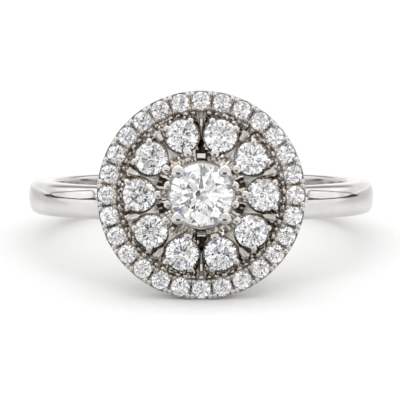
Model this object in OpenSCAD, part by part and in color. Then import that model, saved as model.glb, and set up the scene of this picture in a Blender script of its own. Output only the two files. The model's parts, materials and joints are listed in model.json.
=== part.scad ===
// Halo cocktail ring: a large round centre stone in four prongs, ten stones around it,
// and a round outer halo of small stones, on a plain polished band with a domed outside.
// It lies on its side, on the halo's lower rim and the back of the band. Millimetres.

/* [Band] */
// Diameter of the finger hole
finger_hole_d = 17.3; // [15:0.1:20]
// Thickness of the band at the middle of its dome
band_t = 1.45; // [1.3:0.05:1.8]
// Width of the band along the finger
band_w = 1.9; // [1.6:0.05:2.4]
// Radius of the dome across the band
band_dome_r = 2.5; // [2:0.1:4]
// Radius of the band's outer edges
band_edge_r = 0.45; // [0.3:0.05:0.5]
// Radius of the band's inner edges
band_inner_r = 0.2; // [0.1:0.05:0.25]

/* [Head] */
// Height of the halo stones' girdles above the finger's middle line
halo_level = 12; // [11.8:0.1:12.5]
// Height of the cluster stones' girdles above that line
cluster_level = 12.35; // [12.2:0.05:12.8]
// Height of the centre stone's girdle above that line
centre_level = 12.95; // [12.8:0.05:13.3]
// How far the head leans up from the band's middle plane, as the ring lies, in degrees
head_lean = 3.2; // [0:0.2:4]

/* [Stones] */
// Diameter of the centre stone
centre_stone_d = 3.55; // [3.4:0.05:3.6]
// Diameter of each cluster stone
cluster_stone_d = 1.87; // [1.7:0.01:1.9]
// Number of cluster stones
cluster_count = 10; // [10:1:10]
// Radius of the circle through the cluster stones' middles
cluster_circle_r = 3.47; // [3.4:0.01:3.5]
// Diameter of each halo stone
halo_stone_d = 1.05; // [0.95:0.01:1.08]
// Number of halo stones
halo_count = 28; // [28:1:28]
// Radius of the circle through the halo stones' middles
halo_circle_r = 5.28; // [5.26:0.01:5.3]
// Width of the table, as a share of a stone's diameter
table_share = 0.57; // [0.53:0.01:0.62]
// Height of the crown, as a share of a stone's diameter
crown_share = 0.15; // [0.12:0.01:0.16]
// Thickness of the girdle, as a share of a stone's diameter
girdle_share = 0.03; // [0.02:0.01:0.04]
// Depth of the pavilion, as a share of a stone's diameter
pavilion_share = 0.43; // [0.41:0.01:0.44]
// How far the pavilion mains' side corners lie from the middle, as a share of the radius
main_share = 0.24; // [0.2:0.01:0.3]
// Clearance between a stone and the metal around it
stone_gap = 0.02; // [0.01:0.01:0.03]

/* [Halo frame] */
// Outer radius of the halo's rim
halo_rim_r = 5.87; // [5.86:0.01:6]
// Inner radius of the halo's plate
halo_inner_r = 4.72; // [4.65:0.01:4.75]
// Depth of the halo's outer wall
halo_wall_h = 1.1; // [1:0.1:1.4]
// How far the outer wall draws in towards its lower edge
halo_wall_taper = 0.34; // [0.3:0.01:0.4]
// Width of the chamfer on the rim
halo_chamfer = 0.05; // [0.03:0.01:0.08]
// Diameter of the small beads that hold the halo stones
halo_bead_d = 0.26; // [0.24:0.01:0.28]
// Distance of those beads, in and out, from the circle of the halo stones
halo_bead_out = 0.41; // [0.4:0.01:0.42]
// Half the distance between the two beads of a pair
halo_bead_side = 0.12; // [0.12:0.01:0.14]

/* [Cluster] */
// Outer radius of a cluster cup at its rim
cup_top_r = 1.01; // [1:0.01:1.03]
// Outer radius of a cluster cup at its foot
cup_foot_r = 0.6; // [0.55:0.01:0.65]
// Height of a cluster cup
cup_h = 0.95; // [0.9:0.05:1]
// Radius of the open culet hole in a cluster cup
cup_hole_r = 0.3; // [0.25:0.01:0.35]
// Diameter of the two outer beads on each cluster stone
outer_bead_d = 0.37; // [0.34:0.01:0.4]
// Distance of those beads from the stone's middle
outer_bead_r = 0.95; // [0.93:0.01:0.97]
// Angle of those beads from the outward direction
outer_bead_angle = 47; // [42:1:50]
// Diameter of the inner bead on each cluster stone
inner_bead_d = 0.48; // [0.44:0.01:0.5]
// Distance of that bead from the stone's middle
inner_bead_r = 1; // [0.98:0.01:1.02]
// Thickness of the upright webs between the cups
web_t = 0.18; // [0.16:0.01:0.2]
// Diameter of the round lug on each web, near the halo
lug_d = 0.5; // [0.4:0.01:0.54]
// Distance of the lugs from the middle of the head
lug_r = 4.05; // [4:0.01:4.1]

/* [Centre setting] */
// Diameter of the four beads on the centre prongs
prong_bead_d = 0.68; // [0.62:0.01:0.7]
// Distance of the prongs from the centre stone's middle
prong_r = 1.82; // [1.79:0.01:1.85]
// Diameter of the prong wire
prong_wire_d = 0.54; // [0.5:0.01:0.6]
// Diameter of the small beads beside the centre stone
side_bead_d = 0.4; // [0.36:0.01:0.42]
// Distance of the small beads from the centre stone's middle
side_bead_r = 1.96; // [1.95:0.01:2]
// Width of the small block above and below the centre stone
block_w = 0.54; // [0.5:0.01:0.6]

/* [Gallery] */
// Radius of the lower gallery rail's circle
rail_circle_r = 3.4; // [3.2:0.1:3.6]
// Diameter of the rail's wire
rail_wire_d = 0.8; // [0.7:0.05:0.9]
// Height of the rail above the finger's middle line
rail_level = 9.7; // [9.65:0.05:9.8]
// Number of slanted struts between the rail and the halo
strut_count = 10; // [10:1:10]
// Diameter of the struts
strut_d = 0.6; // [0.5:0.05:0.7]

/* [Hidden] */
$fn = 48;
hole_r = finger_hole_d / 2;
band_outer_r = hole_r + band_t;
band_half_w = band_w / 2;
arc_steps = 6;

// The band's edge arcs touch its dome, so their middles lie on a circle about the dome's middle
dome_middle = band_outer_r - band_dome_r;
edge_z = band_half_w - band_edge_r;
edge_x = dome_middle + sqrt(pow(band_dome_r - band_edge_r, 2) - pow(edge_z, 2));
dome_half_angle = atan2(edge_z, edge_x - dome_middle);

// The rest tilt lets the halo's rim and the band's back edge touch the same floor
rim_level = halo_level - halo_chamfer;
rest_a = halo_rim_r * cos(head_lean) - rim_level * sin(head_lean) - edge_z;
rest_b = rim_level * cos(head_lean) + halo_rim_r * sin(head_lean) + edge_x;
rest_tilt = acos(band_edge_r / norm([rest_a, rest_b])) - atan2(rest_b, rest_a);
lowest = -edge_x * sin(rest_tilt) - edge_z * cos(rest_tilt) - band_edge_r;

// The lower prong beads reach furthest forward, and the band's dome furthest back
bead_level = centre_level + 0.13;
face_tilt = rest_tilt + head_lean;
front = -bead_level * cos(face_tilt) - prong_r * sin(45) * sin(face_tilt) - prong_bead_d / 2;
back = dome_middle * cos(rest_tilt) + band_dome_r;
middle_y = (front + back) / 2;

halo_step = 360 / halo_count;
cluster_step = 360 / cluster_count;
web_turn = cluster_step / 2;
web_foot = cluster_level - 1.05;
web_top = cluster_level - 0.22;
lug_top = web_top + 0.1;
seat_ring_r = 2.05;
seat_ring_w = 0.45;
seat_ring_h = 0.5;
plate_inner_r = seat_ring_r - 0.2;
plate_outer_r = halo_inner_r + 0.3;
plate_level = web_foot - 0.05;
plate_h = 0.3;
block_t = 0.32;
collar_r = 1.9;
collar_w = 0.3;
collar_h = 0.2;
collar_level = centre_level - 0.4;
cluster_bead_level = cluster_level + 0.08;
cluster_prong_foot = cluster_level - 0.6;
side_bead_level = centre_level - 0.2;
wire_share = 0.8;
through = 1;

function two_digits(i) = i < 10 ? str("0", i) : str(i);
CLUSTER_NODES = [for (i = [1:cluster_count]) str("cluster_stone_", two_digits(i))];
HALO_NODES = [for (i = [1:halo_count]) str("halo_stone_", two_digits(i))];

// A point of an arc in the band's section
function arc_point(middle, r, angle) = middle + r * [cos(angle), sin(angle)];

// Lays the ring on its side, with the finger's line almost upright and the head towards -Y
module lying() {
    translate([0, -middle_y, -lowest]) rotate([-rest_tilt, 0, 0]) children();
}

// The head's own frame: the finger's middle line passes through the origin, +Z points out of the face
module head_frame() {
    lying() rotate([90 - head_lean, 0, 0]) children();
}

module around(count, radius, turn = 0) {
    for (i = [0:count - 1]) rotate([0, 0, turn + i * 360 / count]) translate([radius, 0, 0]) children();
}

// Domed outside, round edges and a straight wall in the finger hole
module band_section() {
    outer_edge = [for (i = [0:arc_steps]) arc_point([edge_x, edge_z], band_edge_r,
        90 - (90 - dome_half_angle) * i / arc_steps)];
    dome = [for (i = [1:arc_steps]) arc_point([dome_middle, 0], band_dome_r,
        dome_half_angle * (1 - i / arc_steps))];
    inner_edge = [for (i = [0:arc_steps / 2]) arc_point([hole_r + band_inner_r, band_half_w - band_inner_r],
        band_inner_r, 180 - 180 * i / arc_steps)];
    upper = concat(inner_edge, outer_edge, dome);
    lower = [for (i = [len(upper) - 2:-1:0]) [upper[i].x, -upper[i].y]];
    polygon(concat(upper, lower));
}

module band() {
    rotate_extrude() band_section();
}

// The stars' outer tips and the pavilion mains' side corners lie in the planes of the kites and the mains
function half_girdle(d) = d * girdle_share / 2;
function table_z(d) = half_girdle(d) + d * crown_share;
function culet_z(d) = -half_girdle(d) - d * pavilion_share;
function star_r(d) = d * (1 + table_share * cos(22.5)) / 4;
function star_z(d) = half_girdle(d) + crown_share * (d - 2 * star_r(d) * cos(22.5)) / (1 - table_share);
function main_r(d) = d * main_share / 2;
function main_z(d) = -half_girdle(d) - d * pavilion_share * (1 - main_share * cos(22.5));
function on_circle(r, angle, z) = [r * cos(angle), r * sin(angle), z];

// Round brilliant: table, 8 stars, 8 kites, 16 upper and 16 lower girdle facets, 8 pavilion mains
module brilliant(d) {
    corners = [for (i = [0:7]) on_circle(d / 2 * table_share, 45 * i, table_z(d))];
    stars = [for (i = [0:7]) on_circle(star_r(d), 45 * i + 22.5, star_z(d))];
    upper = [for (i = [0:15]) on_circle(d / 2, 22.5 * i, half_girdle(d))];
    lower = [for (i = [0:15]) on_circle(d / 2, 22.5 * i, -half_girdle(d))];
    mains = [for (i = [0:7]) on_circle(main_r(d), 45 * i + 22.5, main_z(d))];
    s = len(corners);
    u = s + len(stars);
    l = u + len(upper);
    m = l + len(lower);
    culet = m + len(mains);
    faces = concat(
        [[for (i = [7:-1:0]) i]],
        [for (i = [0:7]) [i, (i + 1) % 8, s + i]],
        [for (i = [0:7]) [i, s + i, u + 2 * i, s + (i + 7) % 8]],
        [for (i = [0:7]) [s + i, u + 2 * i + 1, u + 2 * i]],
        [for (i = [0:7]) [s + i, u + (2 * i + 2) % 16, u + 2 * i + 1]],
        [for (i = [0:15]) [u + i, u + (i + 1) % 16, l + (i + 1) % 16, l + i]],
        [for (i = [0:7]) [m + i, l + 2 * i, l + 2 * i + 1]],
        [for (i = [0:7]) [m + i, l + 2 * i + 1, l + (2 * i + 2) % 16]],
        [for (i = [0:7]) [culet, m + (i + 7) % 8, l + 2 * i, m + i]]
    );
    polyhedron(concat(corners, stars, upper, lower, mains, [[0, 0, culet_z(d)]]), faces);
}

// The room for a stone, cut out of the metal: two cones that pass just outside the stone's corners
module stone_seat(d) {
    r = d / 2 + stone_gap;
    half_h = half_girdle(d) + stone_gap;
    top_z = table_z(d) + stone_gap;
    crown_slope = (star_z(d) - half_girdle(d)) / (d / 2 - star_r(d));
    pavilion_slope = (-half_girdle(d) - main_z(d)) / (d / 2 - main_r(d));
    rotate_extrude() polygon([
        [0, -half_h - r * pavilion_slope],
        [r, -half_h],
        [r, half_h],
        [r - (top_z - half_h) / crown_slope, top_z],
        [0, top_z]
    ]);
}

// A prong: a wire with a round bead on its end
module prong(wire_d, bead_d, foot, bead_z) {
    translate([0, 0, foot]) cylinder(d = wire_d, h = bead_z - foot);
    translate([0, 0, bead_z]) sphere(d = bead_d);
}

module halo_frame() {
    rotate_extrude() polygon([
        [halo_inner_r, halo_level],
        [halo_rim_r - halo_chamfer, halo_level],
        [halo_rim_r, rim_level],
        [halo_rim_r - halo_wall_taper, halo_level - halo_wall_h],
        [halo_inner_r + 0.15, halo_level - halo_wall_h]
    ]);
}

module halo_beads() {
    for (i = [0:halo_count - 1], out = [-1, 1], side = [-1, 1])
        rotate([0, 0, (i + 0.5) * halo_step - 90])
            translate([halo_circle_r + out * halo_bead_out, side * halo_bead_side, halo_level])
                sphere(d = halo_bead_d);
}

module cluster_cups() {
    around(cluster_count, cluster_circle_r)
        translate([0, 0, cluster_level - cup_h]) cylinder(r1 = cup_foot_r, r2 = cup_top_r, h = cup_h);
}

// Each web runs between two cups, and dips under the halo stones where it meets the halo's plate
module cluster_webs() {
    web_in = seat_ring_r - 0.15;
    web_out = halo_inner_r + 0.18;
    around(cluster_count, 0, web_turn) rotate([90, 0, 0]) linear_extrude(web_t, center = true) polygon([
        [web_in, web_foot],
        [web_out, web_foot],
        [web_out, halo_level - 0.32],
        [halo_inner_r - 0.12, web_top - 0.05],
        [lug_r, web_top],
        [web_in, web_top]
    ]);
    around(cluster_count, lug_r, web_turn) translate([0, 0, web_foot]) cylinder(d = lug_d, h = lug_top - web_foot);
}

// A flat ring of width w, inside a circle of radius r
module flat_ring(r, w, h) {
    difference() {
        cylinder(r = r, h = h);
        translate([0, 0, -through]) cylinder(r = r - w, h = h + 2 * through);
    }
}

// A plate under the cups closes the recess and ties the cups to the halo
module base_plate() {
    translate([0, 0, plate_level]) flat_ring(plate_outer_r, plate_outer_r - plate_inner_r, plate_h);
}

module cluster_prongs() {
    around(cluster_count, cluster_circle_r) {
        for (side = [-1, 1]) rotate([0, 0, side * outer_bead_angle]) translate([outer_bead_r, 0, 0])
            prong(outer_bead_d * wire_share, outer_bead_d, cluster_prong_foot, cluster_bead_level);
        translate([-inner_bead_r, 0, 0])
            prong(inner_bead_d * wire_share, inner_bead_d, cluster_prong_foot, cluster_bead_level);
    }
}

module centre_setting() {
    translate([0, 0, web_foot]) flat_ring(seat_ring_r, seat_ring_w, seat_ring_h);
    translate([0, 0, collar_level]) flat_ring(collar_r, collar_w, collar_h);
    around(4, prong_r, 45) prong(prong_wire_d, prong_bead_d, web_foot, bead_level);
    for (turn = [-web_turn, web_turn, 180 - web_turn, 180 + web_turn])
        rotate([0, 0, turn]) translate([side_bead_r, 0, 0])
            prong(side_bead_d, side_bead_d, web_foot, side_bead_level);
    for (turn = [90, 270]) rotate([0, 0, turn]) translate([seat_ring_r, -block_w / 2, web_foot])
        cube([block_t, block_w, lug_top - web_foot]);
}

module gallery() {
    strut_top_r = (halo_inner_r + halo_rim_r) / 2 - 0.15;
    strut_top = halo_level - halo_wall_h + 0.3;
    strut_run = strut_top_r - rail_circle_r;
    strut_rise = strut_top - rail_level;
    translate([0, 0, rail_level]) rotate_extrude() translate([rail_circle_r, 0]) circle(d = rail_wire_d);
    around(strut_count, rail_circle_r) translate([0, 0, rail_level])
        rotate([0, atan2(strut_run, strut_rise), 0]) cylinder(d = strut_d, h = norm([strut_run, strut_rise]));
}

module halo() {
    difference() {
        union() {
            halo_frame();
            halo_beads();
        }
        around(halo_count, halo_circle_r, -90) translate([0, 0, halo_level]) stone_seat(halo_stone_d);
    }
}

module cluster() {
    difference() {
        union() {
            cluster_cups();
            base_plate();
            cluster_webs();
            cluster_prongs();
            centre_setting();
        }
        translate([0, 0, centre_level]) stone_seat(centre_stone_d);
        around(cluster_count, cluster_circle_r) translate([0, 0, cluster_level]) stone_seat(cluster_stone_d);
        around(cluster_count, cluster_circle_r) translate([0, 0, web_foot - through])
            cylinder(r = cup_hole_r, h = 2 * through);
    }
}

// All the soldered metal is one piece
module mounting() {
    color("silver") {
        lying() band();
        head_frame() {
            halo();
            cluster();
            gallery();
        }
    }
}

module centre_stone() {
    color("white") head_frame() translate([0, 0, centre_level]) brilliant(centre_stone_d);
}

module cluster_stone(i) {
    color("white") head_frame() rotate([0, 0, i * cluster_step]) translate([cluster_circle_r, 0, cluster_level])
        rotate([0, 0, i * 17]) brilliant(cluster_stone_d);
}

module halo_stone(i) {
    color("white") head_frame() rotate([0, 0, i * halo_step - 90]) translate([halo_circle_r, 0, halo_level])
        rotate([0, 0, i * 31]) brilliant(halo_stone_d);
}

mounting();
centre_stone();
for (i = [0:cluster_count - 1]) cluster_stone(i);
for (i = [0:halo_count - 1]) halo_stone(i);
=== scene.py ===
"""A halo cocktail ring lying on its side, dressed for a catalogue picture.

The stones keep their solids and get a cut-stone finish. The soldered metal is modelled again in
finer pieces: band, halo frame, beads, recess floor, cups, brackets, prongs, centre setting and
gallery. Sizes are millimetres in the ring's and the head's own frames, which are read from the
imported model.
"""

import json
import logging
from dataclasses import dataclass, field
from enum import Enum
from math import atan2, cos, degrees, hypot, inf, pi, radians, sin, sqrt, tan
from typing import Callable, Sequence

import bmesh
import bpy
import numpy as np
from mathutils import Matrix, Vector


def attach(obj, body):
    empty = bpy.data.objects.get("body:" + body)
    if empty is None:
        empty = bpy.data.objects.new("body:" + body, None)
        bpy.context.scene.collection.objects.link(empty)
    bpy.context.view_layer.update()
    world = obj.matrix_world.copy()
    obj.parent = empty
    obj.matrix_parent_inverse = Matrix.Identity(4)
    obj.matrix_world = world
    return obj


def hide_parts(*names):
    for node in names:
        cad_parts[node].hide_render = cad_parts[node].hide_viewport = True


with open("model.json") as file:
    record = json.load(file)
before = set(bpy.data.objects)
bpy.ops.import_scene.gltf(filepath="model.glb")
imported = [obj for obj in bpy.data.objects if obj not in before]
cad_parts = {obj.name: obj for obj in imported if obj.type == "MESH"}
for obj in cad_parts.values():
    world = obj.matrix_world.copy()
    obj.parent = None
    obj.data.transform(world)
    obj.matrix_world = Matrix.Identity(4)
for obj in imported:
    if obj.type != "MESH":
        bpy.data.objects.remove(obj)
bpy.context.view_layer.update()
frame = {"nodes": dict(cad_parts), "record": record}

log = logging.getLogger("ring")

# A millimetre in metres, a length in millimetres that counts as none, and the roughness of all paper.
MM = 0.001
TINY = 1e-6
PAPER_ROUGH = 0.9

Pair = tuple[float, float]
Point = tuple[float, float, float]
Profile = list[Pair]
Tones = tuple[tuple[float, Point], ...]
Material = bpy.types.Material
Piece = bpy.types.Object
Socket = bpy.types.NodeSocket
Value = Socket | float | tuple[float, ...]


# Node helpers


class Tree:
    """Adds nodes to a node tree and links them in one call."""

    def __init__(self, tree: bpy.types.NodeTree) -> None:
        """Empties the node tree of a material or a world."""
        self.tree = tree
        tree.nodes.clear()

    def add(self, kind: str, settings: dict[str, str] | None = None, **inputs: Value) -> bpy.types.Node:
        """Adds one node.

        Args:
            kind: the node's type, such as ShaderNodeMath.
            settings: properties of the node itself.
            **inputs: values or output sockets, by the input's name with underscores, or by i0, i1, ...

        Returns:
            The new node.
        """
        node = self.tree.nodes.new(kind)
        for name, value in (settings or {}).items():
            setattr(node, name, value)
        for name, value in inputs.items():
            if name[0] == "i" and name[1:].isdigit():
                socket = node.inputs[int(name[1:])]
            else:
                socket = node.inputs[name.replace("_", " ")]
            if isinstance(value, Socket):
                self.tree.links.new(value, socket)
            else:
                socket.default_value = value
        return node

    def math(self, operation: str, a: Value, b: Value = 0.0) -> Socket:
        """Returns the socket of one step of arithmetic, by Blender's name of the operation."""
        return self.add("ShaderNodeMath", {"operation": operation}, i0=a, i1=b).outputs[0]

    def ramp(self, value: Socket, low: float, high: float, to_low: float = 0.0,
             to_high: float = 1.0) -> Socket:
        """Returns the socket of a smooth step, from to_low below low to to_high above high."""
        return self.add("ShaderNodeMapRange", {"interpolation_type": "SMOOTHSTEP"},
                        i0=value, i1=low, i2=high, i3=to_low, i4=to_high).outputs[0]

    def steps(self, chance: Socket, tones: Tones, share: float = 1.0) -> Socket:
        """Picks one of some tones by a random value.

        Args:
            chance: the random value, from 0 to 1.
            tones: (start, tone) pairs in rising order; a tone is used from its start to the next one's.
            share: scales the starts.

        Returns:
            The tone's socket.
        """
        ramp = self.add("ShaderNodeValToRGB", Fac=chance)
        ramp.color_ramp.interpolation = "CONSTANT"
        stops = ramp.color_ramp.elements
        while len(stops) < len(tones):
            stops.new(share)  # it gets its own start below
        for stop, (start, tone) in zip(stops, tones):
            stop.position = start * share
            stop.color = (*tone, 1.0)
        return ramp.outputs[0]

    def mix(self, factor: Value, a: Value, b: Value, blend: str = "MIX") -> Socket:
        """Returns the socket of two mixed colours: a where the factor is 0, and b where it is 1."""
        kind = {"data_type": "RGBA", "blend_type": blend}
        return self.add("ShaderNodeMix", kind, i0=factor, i6=a, i7=b).outputs[2]

    def noise(self, place: Socket, size: float, detail: float, roughness: float = 0.5) -> Socket:
        """Returns the socket of a soft noise, whose largest waves have the size given in metres."""
        return self.add("ShaderNodeTexNoise", Vector=place, Scale=1.0 / size, Detail=detail,
                        Roughness=roughness).outputs[0]

    def chance(self, place: Socket) -> Socket:
        """Returns the socket of a random value, from 0 to 1, for each cell of a flat place."""
        node = self.add("ShaderNodeTexWhiteNoise", {"noise_dimensions": "2D"}, Vector=place)
        return node.outputs["Value"]


# Finishes


@dataclass(frozen=True)
class Finish:
    """A finish, by the name of its material."""

    name: str

    def draw(self, tree: Tree, place: Socket) -> dict[str, Value]:
        """Returns the shader's inputs by name; each kind of finish draws its own in the tree."""
        return {}

    def build(self) -> Material:
        """Makes the finish.

        Returns:
            The material.
        """
        material = bpy.data.materials.new(self.name)
        material.use_nodes = True
        tree = Tree(material.node_tree)
        place = tree.add("ShaderNodeTexCoord").outputs["Object"]
        shader = tree.add("ShaderNodeBsdfPrincipled", **self.draw(tree, place))
        tree.add("ShaderNodeOutputMaterial", Surface=shader.outputs[0])
        return material


@dataclass(frozen=True)
class PolishedGold(Finish):
    """White gold, polished, with faint wheel marks and small changes of tone."""

    tone: Point = (0.75, 0.737, 0.727)
    worn_tone: Point = (0.68, 0.668, 0.658)
    smooth: float = 0.045
    rough: float = 0.11
    cloud_size: float = 1.8 * MM
    cloud_step: Pair = (0.35, 0.7)
    mark_size: float = 0.45 * MM
    mark_step: Pair = (0.35, 0.75)
    mark_depth: float = 0.00035 * MM
    mark_strength: float = 0.6

    def draw(self, tree: Tree, place: Socket) -> dict[str, Value]:
        """Draws the changes of tone and the wheel marks.

        Args:
            tree: where the nodes are added.
            place: the place on the surface.

        Returns:
            The shader's inputs by name.
        """
        cloud = tree.noise(place, self.cloud_size, detail=3.0)
        marks = tree.noise(place, self.mark_size, detail=5.0, roughness=0.6)
        colour = tree.mix(tree.ramp(cloud, *self.cloud_step), (*self.tone, 1.0), (*self.worn_tone, 1.0))
        roughness = tree.ramp(marks, *self.mark_step, self.smooth, self.rough)
        bump = tree.add("ShaderNodeBump", Strength=self.mark_strength, Distance=self.mark_depth,
                        Height=marks).outputs[0]
        return {"Base_Color": colour, "Metallic": 1.0, "Roughness": roughness, "Normal": bump}


class Metal(Enum):
    """The finishes of the white gold, each for its own places, and four darker copies of it that are
    painted shade.
    """

    POLISHED = PolishedGold("white_gold")
    INNER = PolishedGold("inner_gold", (0.66, 0.645, 0.63), (0.61, 0.595, 0.58), 0.1, 0.13, mark_depth=0.0)
    # Painted shade: a darker, warmer copy of the gold for the inner beads beside the recess.
    INNER_BEAD_SHADE = PolishedGold("inner_bead_shade_gold", (0.70, 0.655, 0.60), (0.52, 0.47, 0.41), 0.06, 0.14)
    SOFT = PolishedGold("soft_gold", (0.72, 0.70, 0.675), (0.56, 0.53, 0.50), 0.14, 0.3)
    # Painted shade: a dark brown copy of the gold for the plate between the halo's stones, the cups and the
    # valleys' sides.
    PAINTED_SHADE = PolishedGold("painted_shade_gold", (0.45, 0.385, 0.32), (0.25, 0.208, 0.168), 0.12, 0.28)
    # Painted shade: a dark grey-brown copy of the gold for the webs and plates down between the cups.
    DEEP_SHADE = PolishedGold("deep_shade_gold", (0.42, 0.39, 0.36), (0.28, 0.25, 0.225), 0.22, 0.34)
    RECESS = PolishedGold("recess_gold", (0.90, 0.84, 0.78), (0.64, 0.58, 0.52), 0.08, 0.2,
                          cloud_size=1.0 * MM, mark_size=0.25 * MM)
    # Painted shade: a near black copy of the gold for the slots in the recess floor, where openings would
    # be.
    SLOT_SHADE = PolishedGold("slot_shade_gold", (0.07, 0.061, 0.053), (0.035, 0.03, 0.026), 0.3, 0.45)


@dataclass(frozen=True)
class CutStone(Finish):
    """A clear cut stone with a high index of refraction and small painted flashes of colour that stand in
    for its fire.
    """

    tone: Point = (1.0, 1.0, 1.0)
    cloud_tone: Point = (0.985, 0.99, 1.0)
    index: float = 2.417
    cloud_size: float = 0.8 * MM
    # Painted flashes of fire: small cells of navy, tan and grey multiplied into the stone's colour.
    fire_flash_size: float = 0.085 * MM
    fire_flashes: Tones = ((0.0, (0.05, 0.09, 0.21)), (0.045, (0.50, 0.32, 0.15)),
                     (0.065, (0.17, 0.165, 0.165)), (0.15, (1.0, 1.0, 1.0)))

    def draw(self, tree: Tree, place: Socket) -> dict[str, Value]:
        """Draws the changes of tone and the painted flashes of fire.

        Args:
            tree: where the nodes are added.
            place: the place on the surface.

        Returns:
            The shader's inputs by name.
        """
        cloud = tree.noise(place, self.cloud_size, detail=2.0)
        colour = tree.mix(cloud, (*self.tone, 1.0), (*self.cloud_tone, 1.0))
        cells = tree.add("ShaderNodeTexVoronoi", Vector=place, Scale=1.0 / self.fire_flash_size).outputs["Color"]
        chance = tree.add("ShaderNodeSeparateColor", Color=cells).outputs[0]
        colour = tree.mix(1.0, colour, tree.steps(chance, self.fire_flashes), "MULTIPLY")
        return {"Base_Color": colour, "Roughness": 0.0, "IOR": self.index, "Transmission_Weight": 1.0}


@dataclass(frozen=True)
class StudioPaper(Finish):
    """Plain studio paper with a fine grain."""

    tone: Point
    grain: float = 0.007
    grain_size: float = 0.6 * MM

    def draw(self, tree: Tree, place: Socket) -> dict[str, Value]:
        """Draws the grain.

        Args:
            tree: where the nodes are added.
            place: the place on the surface.

        Returns:
            The shader's inputs by name.
        """
        grain = tree.noise(place, self.grain_size, detail=2.0)
        low = tuple(c * (1 - self.grain) for c in self.tone)
        high = tuple(c * (1 + self.grain) for c in self.tone)
        return {"Base_Color": tree.mix(grain, (*low, 1.0), (*high, 1.0)), "Roughness": PAPER_ROUGH}


@dataclass(frozen=True)
class Spot:
    """A round place on the floor where paper is darker, in millimetres; the shade fades along its reach."""

    middle: Pair
    reach: Pair
    shade: float

    def mirrored(self) -> "Spot":
        """Returns the same spot on the other side."""
        return Spot((-self.middle[0], self.middle[1]), self.reach, self.shade)


@dataclass(frozen=True)
class FadingPaper(Finish):
    """Paper that is darker round some spots and fades to its own tone."""

    spots: tuple[Spot, ...]
    tone: float = 0.93

    def draw(self, tree: Tree, place: Socket) -> dict[str, Value]:
        """Draws the spots.

        Args:
            tree: where the nodes are added.
            place: the place on the surface.

        Returns:
            The shader's inputs by name.
        """
        grey = self.tone
        for spot in self.spots:
            (x, y), (near, far) = spot.middle, spot.reach
            away = tree.add("ShaderNodeVectorMath", {"operation": "DISTANCE"}, i0=place,
                            i1=(x * MM, y * MM, 0.0)).outputs["Value"]
            grey = tree.math("MULTIPLY", grey, tree.ramp(away, near * MM, far * MM, spot.shade, 1.0))
        colour = tree.add("ShaderNodeCombineColor", Red=grey, Green=grey, Blue=grey).outputs[0]
        return {"Base_Color": colour, "Roughness": PAPER_ROUGH}


@dataclass(frozen=True)
class SpottedPaper(Finish):
    """Paper with square spots of a few tones, which the stones break up into light and dark facets."""

    size: float = 2.2 * MM
    tones: Tones = ((0.0, (0.03, 0.03, 0.035)), (0.2, (0.06, 0.10, 0.22)), (0.32, (0.32, 0.31, 0.30)),
                    (0.48, (0.62, 0.62, 0.62)), (0.6, (0.96, 0.96, 0.96)))

    def draw(self, tree: Tree, place: Socket) -> dict[str, Value]:
        """Draws the squares.

        Args:
            tree: where the nodes are added.
            place: the place on the surface.

        Returns:
            The shader's inputs by name.
        """
        cell = tree.add("ShaderNodeVectorMath", {"operation": "SCALE"}, i0=place, Scale=1.0 / self.size)
        cell = tree.add("ShaderNodeVectorMath", {"operation": "FLOOR"}, i0=cell.outputs[0])
        chance = tree.chance(cell.outputs[0])
        return {"Base_Color": tree.steps(chance, self.tones), "Roughness": PAPER_ROUGH}


# Meshes


def between(ends: Pair, share: float) -> float:
    """Returns the value at a share of the way from the first end to the second."""
    return ends[0] + (ends[1] - ends[0]) * share


def shares(steps: int) -> list[float]:
    """Returns even shares from 0 to 1, one more than the steps between them."""
    return [i / steps for i in range(steps + 1)]


def arc(middle: Pair, radius: float, start: float, end: float, steps: int) -> Profile:
    """Returns the points of an arc in a profile, from its start to its end in degrees."""
    angles = [radians(between((start, end), share)) for share in shares(steps)]
    return [(middle[0] + radius * cos(a), middle[1] + radius * sin(a)) for a in angles]


def turned(angle: float, radius: float = 0.0, height: float = 0.0) -> Matrix:
    """Returns the place at an angle in degrees round the head's middle, with its X pointing outwards."""
    return Matrix.Rotation(radians(angle), 4, "Z") @ Matrix.Translation((radius, 0, height))


def ridge(radius: float, half: float, top: float, section: Sequence[Pair]) -> list[Point]:
    """Returns a section across a radius, from (share of half its width, rise) pairs of one side."""
    side = [(half * share, top + rise) for share, rise in section]
    return [(radius, -y, z) for y, z in side] + [(radius, y, z) for y, z in side[::-1]]


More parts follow.
